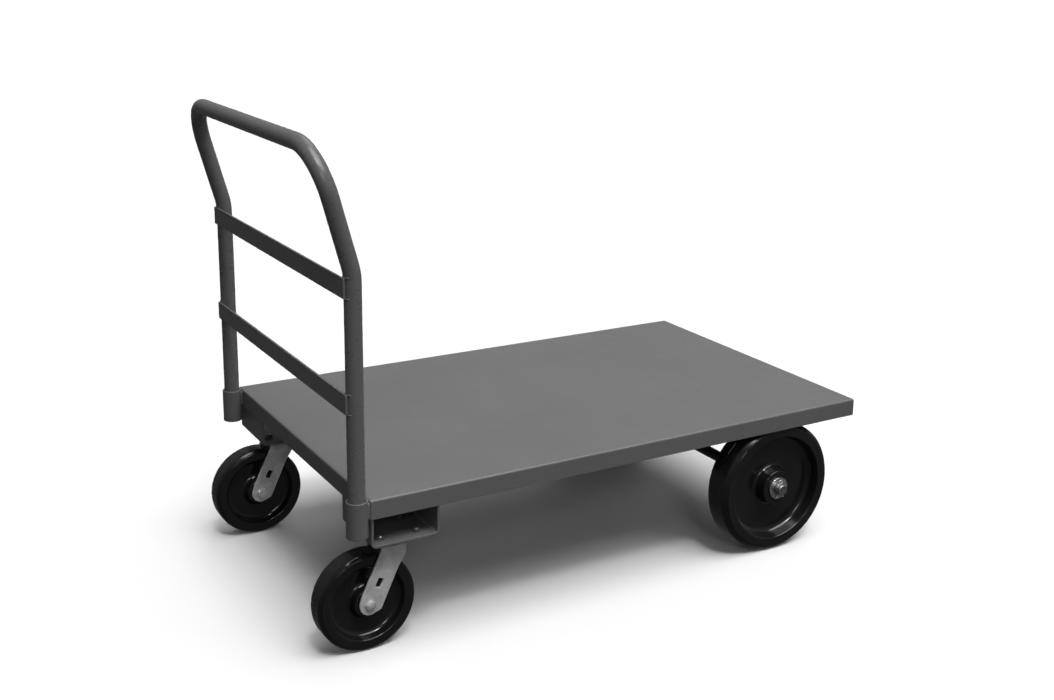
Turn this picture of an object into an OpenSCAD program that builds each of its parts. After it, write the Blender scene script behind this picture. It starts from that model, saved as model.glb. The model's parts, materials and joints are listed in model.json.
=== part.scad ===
// Platform cart: a pan-formed steel deck on two swivel casters and two large rear wheels,
// with a lift-out tube handle that stands in two sockets at one end.
// Millimetres. +X runs from the handle end to the large wheels, +Z is up, the floor is Z = 0.
// "right" is the -Y side and "left" the +Y side of somebody pushing at the handle.

/* [Deck] */
// deck length along X
deck_len = 1219.2; // [900:1:1830]
// deck width along Y
deck_wid = 762; // [600:1:920]
// height of the deck's top face above the floor
deck_top = 333; // [326:1:345]
// depth of the lip folded down round the deck
lip_depth = 39.2; // [30:0.2:50]
// thickness of the deck sheet
deck_sheet = 2.7; // [2:0.1:4]

/* [Handle] */
// outside diameter of the handle tube
tube_od = 33.4; // [30:0.1:34]
// wall of the handle tube
tube_wall = 3.4; // [2:0.1:4.5]
// height of the grip bar's centre line above the floor
grip_z = 1001; // [940:1:1100]
// height where the legs start to lean away from the deck
knee_z = 771; // [765:1:800]
// how far the upper legs lean from upright, in degrees
lean = 15.4; // [8:0.2:20]
// centre line radius of the two top corners
corner_r = 95; // [70:1:120]
// height of the upper cross bar's middle
bar_upper_z = 746; // [650:1:746]
// height of the lower cross bar's middle
bar_lower_z = 526; // [420:1:600]

/* [Sockets] */
// outside diameter of the handle sockets
socket_od = 42.2; // [42:0.1:44]
// length of the handle sockets, down from the deck's top face
socket_len = 73; // [60:1:90]

/* [Casters] */
// diameter of the caster wheels
caster_wheel_dia = 203.2; // [190:0.2:204]
// width of the caster wheels
caster_wheel_wid = 50.8; // [44:0.2:52]
// distance of the kingpins from the handle end lip
kingpin_x = 70; // [60:1:80]
// distance of the kingpins from the cart's middle
kingpin_y = 313; // [300:1:315]
// how far the caster axles trail behind the kingpins
caster_trail = 59.2; // [50:0.2:62]

/* [Rear wheels] */
// diameter of the rear wheels
rear_wheel_dia = 304.8; // [290:0.2:308]
// width of the rear wheels' rims
rear_wheel_wid = 63.5; // [56:0.1:66]
// distance of the rear axle from the handle end lip
rear_axle_x = 1004.7; // [800:0.1:1050]
// distance of the rear wheels' middles from the cart's middle
rear_wheel_y = 339.25; // [320:0.25:345]
// diameter of the rear axle
rear_axle_dia = 25.4; // [22:0.1:28]

/* [Hidden] */
$fn = 48;

gap = 0.3;            // between pieces that move past each other
fit = 0.05;           // radial clearance of a running fit
over = 1;             // how far a cutter runs past the face it cuts

// deck
fold_r = 4;           // outside radius of the folded deck edges
lip_bottom = deck_top - lip_depth;
under_deck = deck_top - deck_sheet;
rib_wid = 60;
rib_deep = 32;
rib_sheet = 2.7;
rib_front = 0.32;     // rib middles, as shares of the deck's length from the handle end
rib_rear = 0.58;

// handle
tube_r = tube_od / 2;
socket_r = socket_od / 2;
socket_wall = 3.5;
socket_floor = 4;
drain_dia = 12;
weld_root = 8;        // where the socket's weld starts, out from the socket's axis
weld_edges = [3, 13.9];
socket_bottom = deck_top - socket_len;
leg_x = -socket_r - 0.05;
leg_y = deck_wid / 2 - 14;
leg_foot = socket_bottom + socket_floor + gap;
knee_r = 120;
seam_len = 2;         // band over each seam between a straight length and a bend
seam_high = 0.1;
knee_arm = knee_r * tan(lean / 2);
lean_len = (grip_z - knee_z) / cos(lean);
handle_reach = tube_r - leg_x + lean_len * sin(lean);
bar_high = 38;
bar_thick = 4.8;
bar_past = 6;         // how far a cross bar runs past each leg's centre line
bar_bite = 0.5;       // how far a cross bar is sunk into the tube by its weld

// the frame's origin is the middle of the cart's box, so the deck starts here
end_x = (handle_reach - deck_len) / 2;

// caster channels
channel_sheet = 4.6;
channel_wid = 142.7;
channel_len = 142.7;
channel_bottom = 232.5;
channel_bend = 10;

// casters
plate_thick = 5.5;
plate_x = 114.3;
plate_y = 101.6;
plate_bolt_x = 38.1;
plate_bolt_y = 38.1;
plate_bolt_dia = 9.5;
plate_top = channel_bottom;
plate_bottom = plate_top - plate_thick;
crown_top = 218.5;
fork_thick = 5.5;
crown_bottom = crown_top - fork_thick;
crown_r = 42;
race_r = 36;
race_wall = 3;
race_deep = 6.6;
plate_hex = 14.3;     // across the flats of the plate's bolts and nuts
plate_head = 5;
plate_nut = 6;
plate_bolt_past = 7;  // how far the plate's bolts stand up inside the channel
ball_dia = 7.9;
ball_ring_r = 26;
ball_count = 16;
kingpin_dia = 16;
kingpin_head_dia = 26;
kingpin_head = 6;
caster_axle_z = caster_wheel_dia / 2;
leg_inner = caster_wheel_wid / 2 + 3.1;
leg_outer = leg_inner + fork_thick;
leg_bend = 9;
leg_front = 25;       // half widths of a leg, ahead of and behind its middle
leg_back = 23;
leg_end_r = 21;
leg_slope = 26;       // lean of the fork's legs, in degrees
leg_head = [-32, 18]; // where a leg's top edge starts and ends, along X from the kingpin
leg_drop = 14.5;      // how far the leg's front edge runs straight down from there
caster_bolt_dia = 12.7;
spanner_dia = 19.05;
caster_hub_bore = 31.8;
caster_washer_dia = 38;
axle_hex = 19;        // across the flats of the axle bolt and its nut
nut_thick = 8;
head_thick = 8;
bolt_past = 3;        // how far the axle bolt stands out of its nut
slot_wid = 12;
slot_high = 19;
slot_up = 47;         // slot's middle above the axle, along the leg

// rear axle and wheels
rear_axle_z = rear_wheel_dia / 2;
rear_axle_len = 790;
rear_hub_half = 35.5;
rear_hub_bore = 38;
rear_washer_dia = 50.8;
rear_washer = 4;
rear_hub_out = rear_wheel_y + rear_hub_half;
rear_hub_in = rear_wheel_y - rear_hub_half;
cotter_dia = 5;
cotter_wire = 2.5;    // each half of the split pin
cotter_ring_r = 4.5;
cotter_leg = 12;
cotter_y = rear_hub_out + gap + rear_washer + 5;
hanger_thick = 6.35;
hanger_out = rear_hub_in - gap - rear_washer;
hanger_top_wid = 110;
hanger_shoulder = 45; // height of the plate's straight-sided top
hanger_eye_r = 30;
hanger_flange = 50;

// ---- shared shapes ----

// solid block with its upper edges rounded, seen along Y
module rounded_top(len, wid, low, high, r) {
  translate([0, wid / 2, 0]) rotate([90, 0, 0]) linear_extrude(wid) rounded_top_face(len, low, high, r);
}

module rounded_top_face(len, low, high, r) {
  translate([0, low]) square([len, high - low - r]);
  translate([r, low]) square([len - 2 * r, high - low]);
  translate([r, high - r]) circle(r);
  translate([len - r, high - r]) circle(r);
}

module hexagon(across, thick) {
  cylinder(d = across / cos(30), h = thick, $fn = 6);
}

// runs its children once at the caster on this side, with the kingpin's axis at X = Y = 0
module at_kingpin(side) {
  translate([end_x + kingpin_x, side * kingpin_y, 0]) children();
}

// puts its children on the caster's wheel axis, with Z turned to the cart's -Y
module at_caster_axle(side) {
  at_kingpin(side) translate([-caster_trail, 0, caster_axle_z]) rotate([90, 0, 0]) children();
}

// puts its children on the rear axle's line, with Z turned to the outside of this side
module at_rear_axle(side) {
  translate([end_x + rear_axle_x, 0, rear_axle_z]) rotate([-side * 90, 0, 0]) children();
}

module tube_bend(bend_r, r, turn) {
  rotate_extrude(angle = turn) translate([bend_r, 0]) circle(r);
}

// ---- chassis ----

module deck_pan() {
  color([0.36, 0.37, 0.38])
  difference() {
    intersection() {
      translate([end_x, 0, 0]) rounded_top(deck_len, deck_wid, lip_bottom, deck_top, fold_r);
      translate([end_x + deck_len / 2, 0, 0]) rotate([0, 0, 90]) translate([-deck_wid / 2, 0, 0])
        rounded_top(deck_wid, deck_len, lip_bottom, deck_top, fold_r);
    }
    translate([end_x + deck_sheet, -deck_wid / 2 + deck_sheet, lip_bottom - over])
      cube([deck_len - 2 * deck_sheet, deck_wid - 2 * deck_sheet, lip_depth + over - deck_sheet]);
  }
}

// channel with its open side up against the underside of the deck
module deck_rib(place) {
  color([0.3, 0.31, 0.32])
  translate([end_x + deck_len * place - rib_wid / 2, -deck_wid / 2 + deck_sheet, under_deck - rib_deep])
    difference() {
      cube([rib_wid, deck_wid - 2 * deck_sheet, rib_deep]);
      translate([rib_sheet, -over, rib_sheet])
        cube([rib_wid - 2 * rib_sheet, deck_wid + over, rib_deep]);
    }
}

// pipe with a floor and a drain hole, and the weld that fills the corner between it and the lip
module socket(side) {
  color([0.3, 0.31, 0.32])
  translate([end_x + leg_x, side * leg_y, 0]) {
    difference() {
      translate([0, 0, socket_bottom]) cylinder(r = socket_r, h = socket_len);
      translate([0, 0, socket_bottom + socket_floor]) cylinder(r = socket_r - socket_wall, h = socket_len);
      translate([0, 0, socket_bottom - over]) cylinder(d = drain_dia, h = socket_floor + 2 * over);
    }
    for (corner = [0, 1])
      mirror([0, corner, 0]) difference() {
        translate([weld_root, weld_edges[0], lip_bottom + 1])
          cube([-leg_x - weld_root, weld_edges[1] - weld_edges[0], lip_depth - fold_r - 1]);
        translate([0, 0, lip_bottom]) cylinder(r = socket_r, h = lip_depth);
      }
  }
}

// upright-sided channel, open at both ends, whose edges meet the underside of the deck
module caster_channel(side) {
  wall_top = under_deck;
  color([0.27, 0.28, 0.29])
  translate([end_x + deck_sheet, side * (deck_wid / 2 - deck_sheet), channel_bottom])
    rotate([90, 0, 0]) translate([0, 0, side > 0 ? 0 : -channel_len])
      difference() {
        linear_extrude(channel_len) channel_section(wall_top - channel_bottom);
        for (bx = [-1, 1], by = [-1, 1])
          translate([kingpin_x - deck_sheet + bx * plate_bolt_x, channel_sheet / 2,
                     side > 0 ? deck_wid / 2 - deck_sheet - kingpin_y + by * plate_bolt_y
                              : channel_len - (deck_wid / 2 - deck_sheet - kingpin_y) + by * plate_bolt_y])
            rotate([90, 0, 0]) cylinder(d = plate_bolt_dia, h = channel_sheet + 2 * over, center = true);
      }
}

module channel_section(high) {
  inner_r = channel_bend - channel_sheet;
  difference() {
    union() {
      translate([0, channel_bend]) square([channel_wid, high - channel_bend]);
      translate([channel_bend, 0]) square([channel_wid - 2 * channel_bend, high]);
      for (x = [channel_bend, channel_wid - channel_bend])
        translate([x, channel_bend]) circle(channel_bend);
    }
    translate([channel_sheet, channel_bend]) square([channel_wid - 2 * channel_sheet, high]);
    translate([channel_bend, channel_sheet]) square([channel_wid - 2 * channel_bend, high]);
    for (x = [channel_bend, channel_wid - channel_bend]) translate([x, channel_bend]) circle(inner_r);
  }
}

// plate that carries the axle, with a flange turned in under the deck
module axle_hanger(side) {
  color([0.27, 0.28, 0.29])
  translate([end_x + rear_axle_x, 0, 0]) {
    rotate([-side * 90, 0, 0]) translate([0, 0, hanger_out - hanger_thick])
      linear_extrude(hanger_thick) scale([1, -side]) hanger_face();
    translate([-hanger_top_wid / 2, side > 0 ? hanger_out - hanger_flange : -hanger_out,
               under_deck - hanger_thick])
      cube([hanger_top_wid, hanger_flange, hanger_thick]);
  }
}

module hanger_face() {
  half = hanger_top_wid / 2;
  top = under_deck - hanger_thick;
  shoulder = under_deck - hanger_shoulder;
  difference() {
    union() {
      polygon([[-half, top], [-half, shoulder], [-hanger_eye_r, rear_axle_z],
               [hanger_eye_r, rear_axle_z], [half, shoulder], [half, top]]);
      translate([0, rear_axle_z]) circle(hanger_eye_r);
    }
    translate([0, rear_axle_z]) circle(rear_axle_dia / 2);
  }
}

// ---- handle ----

// straight length of tube from Z = low to high, with a hair-high band over the seam at each bend
module tube_run(r, low, high, seams) {
  translate([0, 0, low]) cylinder(r = r, h = high - low);
  for (z = seams) translate([0, 0, z - seam_len / 2]) cylinder(r = r + seam_high, h = seam_len);
}

module handle_path(r, past) {
  bend_z = knee_z - knee_arm;
  lean_high = lean_len - corner_r;
  grip_half = leg_y - corner_r;
  for (side = [-1, 1]) {
    translate([leg_x, side * leg_y, 0]) tube_run(r, leg_foot - past, bend_z, [bend_z]);
    translate([leg_x - knee_r, side * leg_y, bend_z]) rotate([90, 0, 0]) tube_bend(knee_r, r, lean);
    translate([leg_x, side * leg_y, knee_z]) rotate([0, -lean, 0]) {
      tube_run(r, knee_arm, lean_high, [knee_arm, lean_high]);
      translate([0, -side * corner_r, lean_high]) rotate([0, -90, side > 0 ? 180 : 0]) rotate([0, 0, -90])
        tube_bend(corner_r, r, 90);
    }
  }
  translate([leg_x, 0, knee_z]) rotate([0, -lean, 0]) translate([0, 0, lean_len]) rotate([90, 0, 0])
    tube_run(r, -grip_half, grip_half, [-grip_half, grip_half]);
}

module handle_tube() {
  color([0.3, 0.31, 0.32])
  translate([end_x, 0, 0])
  difference() {
    handle_path(tube_r, 0);
    handle_path(tube_r - tube_wall, over);
  }
}

module handle_bar(z) {
  color([0.3, 0.31, 0.32])
  translate([end_x + leg_x - tube_r - bar_thick + bar_bite, -leg_y - bar_past, z - bar_high / 2])
    cube([bar_thick, 2 * (leg_y + bar_past), bar_high]);
}

// ---- casters ----

module caster_plate(side) {
  color([0.62, 0.62, 0.6])
  at_kingpin(side)
    difference() {
      union() {
        translate([-plate_x / 2, -plate_y / 2, plate_bottom]) cube([plate_x, plate_y, plate_thick]);
        translate([0, 0, plate_bottom - race_deep]) cylinder(r = race_r, h = race_deep + plate_thick / 2);
      }
      translate([0, 0, plate_bottom - race_deep - over])
        cylinder(r = race_r - race_wall, h = race_deep + over);
      translate([0, 0, plate_bottom - over]) cylinder(d = kingpin_dia, h = plate_thick + 2 * over);
      for (bx = [-1, 1], by = [-1, 1])
        translate([bx * plate_bolt_x, by * plate_bolt_y, plate_bottom - over])
          cylinder(d = plate_bolt_dia, h = plate_thick + 2 * over);
    }
}

module caster_plate_bolts(side) {
  bolt_top = plate_top + channel_sheet + plate_bolt_past;
  color([0.7, 0.7, 0.68])
  at_kingpin(side)
    for (bx = [-1, 1], by = [-1, 1])
      translate([bx * plate_bolt_x, by * plate_bolt_y, 0]) {
        translate([0, 0, plate_bottom - plate_head]) hexagon(plate_hex, plate_head);
        translate([0, 0, plate_bottom - 1]) cylinder(d = plate_bolt_dia, h = bolt_top - plate_bottom + 1);
      }
}

module caster_plate_nuts(side) {
  color([0.7, 0.7, 0.68])
  at_kingpin(side)
    for (bx = [-1, 1], by = [-1, 1])
      translate([bx * plate_bolt_x, by * plate_bolt_y, plate_top + channel_sheet])
        difference() {
          hexagon(plate_hex, plate_nut);
          translate([0, 0, -over]) cylinder(d = plate_bolt_dia, h = plate_nut + 2 * over);
        }
}

module caster_kingpin(side) {
  head_top = crown_bottom - gap;
  color([0.62, 0.62, 0.6])
  at_kingpin(side) {
    translate([0, 0, head_top - over]) cylinder(d = kingpin_dia, h = plate_top - head_top + over);
    translate([0, 0, head_top - kingpin_head]) cylinder(d = kingpin_head_dia, h = kingpin_head);
  }
}

// crown and two legs bent down from it, each with an axle hole and a lightening slot
module caster_fork(side) {
  crown_half = leg_outer - leg_bend;
  color([0.62, 0.62, 0.6])
  at_kingpin(side)
    difference() {
      union() {
        intersection() {
          translate([0, 0, crown_bottom]) cylinder(r = crown_r, h = fork_thick);
          translate([-crown_r, -crown_half, crown_bottom]) cube([2 * crown_r, 2 * crown_half, fork_thick]);
        }
        for (flank = [-1, 1]) {
          translate([0, flank * leg_outer, 0]) rotate([90, 0, 0])
            translate([0, 0, flank > 0 ? 0 : -fork_thick]) linear_extrude(fork_thick) leg_face();
          leg_fold(flank, crown_half);
        }
      }
      translate([0, 0, crown_bottom - over]) cylinder(r = kingpin_dia / 2 + fit, h = fork_thick + 2 * over);
      translate([-caster_trail, 0, caster_axle_z]) rotate([90, 0, 0])
        cylinder(d = caster_bolt_dia, h = 2 * leg_outer + 2 * over, center = true);
    }
}

// rounded fold that joins the crown to the top of a leg
module leg_fold(flank, crown_half) {
  fold_wid = leg_head[1] - leg_head[0];
  translate([leg_head[0], flank * crown_half, crown_top - leg_bend]) rotate([90, 0, 90])
    intersection() {
      difference() {
        cylinder(r = leg_bend, h = fold_wid);
        translate([0, 0, -over]) cylinder(r = leg_bend - fork_thick, h = fold_wid + 2 * over);
      }
      translate([flank > 0 ? 0 : -leg_bend, 0, -over]) cube([leg_bend, leg_bend, fold_wid + 2 * over]);
    }
}

// one leg's outline in the XZ plane, the slot cut out
module leg_face() {
  top = crown_top - leg_bend;
  axle = [-caster_trail, caster_axle_z];
  along = [sin(leg_slope), cos(leg_slope)];
  across = [cos(leg_slope), -sin(leg_slope)];
  neck = axle + along * 88;
  difference() {
    union() {
      translate(axle) circle(leg_end_r);
      polygon([
        axle - along * 17 + across * 12, axle - along * 2 + across * (leg_front + 2),
        neck + across * leg_front, [leg_head[1], top - leg_drop], [leg_head[1], top], [leg_head[0], top],
        neck - across * leg_back, axle + along * 12 - across * leg_back, axle - along * 2 - across * 20]);
    }
    translate(axle + along * slot_up) rotate(-leg_slope) square([slot_wid, slot_high], center = true);
  }
}

module caster_balls(side) {
  color([0.75, 0.75, 0.75])
  at_kingpin(side)
    for (i = [0 : ball_count - 1])
      rotate([0, 0, i * 360 / ball_count])
        translate([ball_ring_r, 0, crown_top + ball_dia / 2]) sphere(d = ball_dia);
}

module caster_axle_bolt(side) {
  color([0.72, 0.72, 0.7])
  at_caster_axle(side) {
    translate([0, 0, leg_outer]) hexagon(axle_hex, head_thick);
    translate([0, 0, -leg_outer - nut_thick - bolt_past])
      cylinder(d = caster_bolt_dia, h = 2 * leg_outer + nut_thick + bolt_past + over);
  }
}

module caster_axle_nut(side) {
  color([0.72, 0.72, 0.7])
  at_caster_axle(side) translate([0, 0, -leg_outer - nut_thick])
    difference() {
      hexagon(axle_hex, nut_thick);
      translate([0, 0, -over]) cylinder(d = caster_bolt_dia, h = nut_thick + 2 * over);
    }
}

module caster_spanner(side) {
  color([0.72, 0.72, 0.7])
  at_caster_axle(side)
    difference() {
      cylinder(d = spanner_dia, h = 2 * leg_inner, center = true);
      cylinder(d = caster_bolt_dia, h = 2 * leg_inner + 2 * over, center = true);
    }
}

module caster_washers(side) {
  thick = leg_inner - caster_wheel_wid / 2 - 2 * gap;
  color([0.72, 0.72, 0.7])
  at_caster_axle(side)
    for (end = [-1, 1])
      translate([0, 0, end * (leg_inner - thick / 2)])
        difference() {
          cylinder(d = caster_washer_dia, h = thick, center = true);
          cylinder(d = spanner_dia, h = thick + 2 * over, center = true);
        }
}

// moulded wheel: tread with rounded shoulders, deep-dished sides, thin web and plain hub
module moulded_wheel(dia, wid, shoulder, rim_in, web_out, web_half, hub_base, hub_face, hub_half, bore) {
  rotate_extrude() {
    difference() {
      union() {
        translate([bore / 2, -wid / 2]) square([dia / 2 - shoulder - bore / 2, wid]);
        translate([bore / 2, -wid / 2 + shoulder]) square([dia / 2 - bore / 2, wid - 2 * shoulder]);
        for (y = [-1, 1])
          translate([dia / 2 - shoulder, y * (wid / 2 - shoulder)]) circle(shoulder);
      }
      for (y = [-1, 1])
        polygon([[bore / 2 - over, y * (hub_half + over)], [bore / 2 - over, y * hub_half],
                 [hub_face, y * hub_half], [hub_base, y * web_half], [web_out, y * web_half],
                 [rim_in, y * wid / 2], [rim_in, y * (hub_half + over)]]);
    }
    for (y = [-1, 1])
      translate([bore / 2, y > 0 ? 0 : -hub_half]) square([hub_face - bore / 2, hub_half]);
  }
}

module caster_wheel(side) {
  color([0.06, 0.06, 0.06])
  at_caster_axle(side)
    moulded_wheel(caster_wheel_dia, caster_wheel_wid, shoulder = 7, rim_in = 78, web_out = 73, web_half = 7,
                  hub_base = 33, hub_face = 28, hub_half = caster_wheel_wid / 2, bore = caster_hub_bore);
}

module caster_bearing(side) {
  color([0.6, 0.6, 0.58])
  at_caster_axle(side)
    difference() {
      cylinder(d = caster_hub_bore, h = caster_wheel_wid, center = true);
      cylinder(r = spanner_dia / 2 + fit, h = caster_wheel_wid + 2 * over, center = true);
    }
}

// ---- rear axle and wheels ----

module rear_axle() {
  color([0.5, 0.5, 0.5])
  translate([end_x + rear_axle_x, 0, rear_axle_z]) rotate([90, 0, 0])
    difference() {
      cylinder(d = rear_axle_dia, h = rear_axle_len, center = true);
      for (side = [-1, 1])
        translate([0, 0, side * cotter_y]) rotate([90, 0, 0])
          cylinder(d = cotter_dia, h = 2 * rear_axle_dia, center = true);
    }
}

module rear_wheel(side) {
  color([0.06, 0.06, 0.06])
  at_rear_axle(side) translate([0, 0, rear_wheel_y])
    moulded_wheel(rear_wheel_dia, rear_wheel_wid, shoulder = 11, rim_in = 122, web_out = 116, web_half = 7,
                  hub_base = 44, hub_face = 40, hub_half = rear_hub_half, bore = rear_hub_bore);
}

module rear_bearing(side) {
  color([0.6, 0.6, 0.58])
  at_rear_axle(side) translate([0, 0, rear_hub_in])
    difference() {
      cylinder(d = rear_hub_bore, h = 2 * rear_hub_half);
      translate([0, 0, -over]) cylinder(r = rear_axle_dia / 2 + fit, h = 2 * rear_hub_half + 2 * over);
    }
}

module rear_washers(side) {
  color([0.72, 0.72, 0.7])
  at_rear_axle(side)
    for (z = [rear_hub_in - gap - rear_washer, rear_hub_out + gap])
      translate([0, 0, z])
        difference() {
          cylinder(d = rear_washer_dia, h = rear_washer);
          translate([0, 0, -over]) cylinder(d = rear_axle_dia, h = rear_washer + 2 * over);
        }
}

// split pin through the axle: ring above, two legs bent apart below
module rear_cotter(side) {
  reach = rear_axle_dia / 2 + 0.6;
  color([0.72, 0.72, 0.7])
  at_rear_axle(side) translate([0, 0, cotter_y]) rotate([side * 90, 0, 0]) {
    cylinder(d = cotter_dia, h = 2 * reach, center = true);
    translate([0, 0, reach + cotter_ring_r - over]) rotate([90, 0, 0])
      rotate_extrude() translate([cotter_ring_r, 0]) circle(d = cotter_wire);
    for (leg = [-1, 1])
      translate([0, 0, -reach]) rotate([0, leg * 55, 0])
        translate([0, 0, -cotter_leg]) cylinder(d = cotter_wire, h = cotter_leg);
  }
}

deck_pan();
deck_rib(rib_front);  // deck_rib_front
deck_rib(rib_rear);  // deck_rib_rear
socket(-1);  // socket_right
socket(1);  // socket_left
caster_channel(-1);  // caster_channel_right
caster_channel(1);  // caster_channel_left
axle_hanger(-1);  // axle_hanger_right
axle_hanger(1);  // axle_hanger_left
handle_tube();
handle_bar(bar_upper_z);  // handle_bar_upper
handle_bar(bar_lower_z);  // handle_bar_lower
caster_plate(-1);  // caster_plate_right
caster_plate_bolts(-1);  // caster_plate_bolts_right
caster_plate_nuts(-1);  // caster_plate_nuts_right
caster_kingpin(-1);  // caster_kingpin_right
caster_fork(-1);  // caster_fork_right
caster_balls(-1);  // caster_balls_right
caster_axle_bolt(-1);  // caster_axle_bolt_right
caster_axle_nut(-1);  // caster_axle_nut_right
caster_spanner(-1);  // caster_spanner_right
caster_washers(-1);  // caster_washers_right
caster_wheel(-1);  // caster_wheel_right
caster_bearing(-1);  // caster_bearing_right
caster_plate(1);  // caster_plate_left
caster_plate_bolts(1);  // caster_plate_bolts_left
caster_plate_nuts(1);  // caster_plate_nuts_left
caster_kingpin(1);  // caster_kingpin_left
caster_fork(1);  // caster_fork_left
caster_balls(1);  // caster_balls_left
caster_axle_bolt(1);  // caster_axle_bolt_left
caster_axle_nut(1);  // caster_axle_nut_left
caster_spanner(1);  // caster_spanner_left
caster_washers(1);  // caster_washers_left
caster_wheel(1);  // caster_wheel_left
caster_bearing(1);  // caster_bearing_left
rear_axle();
rear_wheel(-1);  // rear_wheel_right
rear_bearing(-1);  // rear_bearing_right
rear_washers(-1);  // rear_washers_right
rear_cotter(-1);  // rear_cotter_right
rear_wheel(1);  // rear_wheel_left
rear_bearing(1);  // rear_bearing_left
rear_washers(1);  // rear_washers_left
rear_cotter(1);  // rear_cotter_left
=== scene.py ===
# Looks of the platform cart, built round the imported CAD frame.
# Pieces are worked out in millimetres in the cart's frame and turned into metres when each is finished.
import json
import math

import bmesh
import bpy
from mathutils import Matrix, Vector


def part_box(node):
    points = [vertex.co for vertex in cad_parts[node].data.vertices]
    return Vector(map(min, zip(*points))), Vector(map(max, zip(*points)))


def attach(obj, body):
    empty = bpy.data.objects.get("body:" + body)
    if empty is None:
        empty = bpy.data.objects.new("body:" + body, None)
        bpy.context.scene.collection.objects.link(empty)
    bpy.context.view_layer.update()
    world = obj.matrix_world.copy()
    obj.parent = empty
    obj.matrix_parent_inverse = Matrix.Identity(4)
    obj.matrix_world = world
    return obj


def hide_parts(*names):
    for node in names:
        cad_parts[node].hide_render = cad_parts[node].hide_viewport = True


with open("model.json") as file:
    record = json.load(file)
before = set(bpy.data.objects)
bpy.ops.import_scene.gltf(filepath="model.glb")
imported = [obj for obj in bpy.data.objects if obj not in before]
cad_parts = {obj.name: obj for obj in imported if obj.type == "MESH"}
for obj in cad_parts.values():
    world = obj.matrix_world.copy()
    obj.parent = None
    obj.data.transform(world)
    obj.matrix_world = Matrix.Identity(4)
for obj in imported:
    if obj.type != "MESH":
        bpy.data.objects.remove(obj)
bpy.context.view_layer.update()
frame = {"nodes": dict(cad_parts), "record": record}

MM = 0.001
RECORD = frame["record"]
BODY_OF = {node: body for body, nodes in RECORD["behaviour"]["bodies"].items() for node in nodes}


def span(node):
    """Lowest and highest corner of a CAD node at rest, in millimetres."""
    low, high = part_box(node)
    return low / MM, high / MM


def middle(node):
    low, high = span(node)
    return (low + high) / 2


# ---- places and sizes ----
NAME_END = {-1: "_right", 1: "_left"}   # by side of the cart, the sign of Y
ALONG_Y = ((1, 0, 0), (0, 0, 1), (0, 1, 0))     # axes of a piece drawn in X and Z and lying along Y

DECK_LOW, DECK_HIGH = span("deck_pan")
END_X = DECK_LOW.x                      # outer face of the lip at the handle end
HALF_WID = DECK_HIGH.y
DECK_TOP = DECK_HIGH.z
DECK_SHEET = 2.7
FOLD_R = 4.0                            # folds round the deck's top
PAN_CORNER = 3.2                        # upright corners of the pan
RAW_R = 0.5                             # raw edges of folded sheet
UNDER_DECK = DECK_TOP - DECK_SHEET

SOCKET_R = 21.1
SOCKET_WALL = 3.5
SOCKET_FLOOR = 4.0
DRAIN_R = 6.0

TUBE_R = 16.7
TUBE_BORE = 13.3
LEG_OUT = 21.15                         # legs' centre lines, out from the end lip
LEG_X = END_X - LEG_OUT
LEG_Y = span("socket_left")[1].y - SOCKET_R
LEG_FOOT = span("handle_tube")[0].z
KNEE_Z = 771.0
KNEE_R = 120.0
CORNER_R = 95.0
GRIP_HALF = 16.8                        # from the grip's centre line to the top of the CAD tube's box
GRIP_Z = span("handle_tube")[1].z - GRIP_HALF
LEAN = math.radians(15.4)

CHANNEL_SHEET = 4.6
CHANNEL_BEND = 10.0
RIB_SHEET = 2.7
RIB_BEND = 4.5

PLATE_SHEET = 5.5
PLATE_BOLT = 38.1                       # bolts from the kingpin, along X and along Y
PLATE_BOLT_R = 4.75
PLATE_HEX = 14.3                        # across the flats
RACE_R = 36.0
RACE_WALL = 3.0
PIN_R = 8.0
PIN_HEAD_R = 13.0
FORK_SHEET = 5.5
FORK_BEND = 9.0                         # outside radius of the fork's folds
FORK_SLOPE = math.radians(26)
FORK_END_R = 21.0
SLOT_UP = 47.0                          # middle of each leg's slot, up the leg from the axle
SLOT_HALF = (9.5, 6.0)                  # half its length and half its width
SLOT_CORNER = 2.2
AXLE_BOLT_R = 6.35
AXLE_HEX = 19.0                         # across the flats

HANGER_EYE_R = 30.0
HANGER_SHEET = 6.35
HANGER_SHOULDER = 45.0                  # where the plate starts to narrow, below the deck's sheet
AXLE_R = 12.7
COTTER_WIRE = 1.25

# Wheels: drop of the tread's shoulder, radius of the rim's inner edge and of the web's, half thickness of
# the web, the hub's radius at its base, rounding there, radius and half length at its face, and its bore.
WHEEL_SIZES = ("shoulder", "rim_in", "web_out", "web", "hub_base", "foot", "hub_face", "hub_half", "bore")
CASTER_WHEEL = dict(zip(WHEEL_SIZES, (7, 78, 73, 7, 33, 14, 28, 25.4, 15.9)))
REAR_WHEEL = dict(zip(WHEEL_SIZES, (11, 122, 116, 7, 44, 9, 40, 35.5, 19)))


# ---- mesh helpers ----
HEX_STEPS = 72
HEX_FACE = 0.955                        # how much of a chamfered end stays flat


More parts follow.
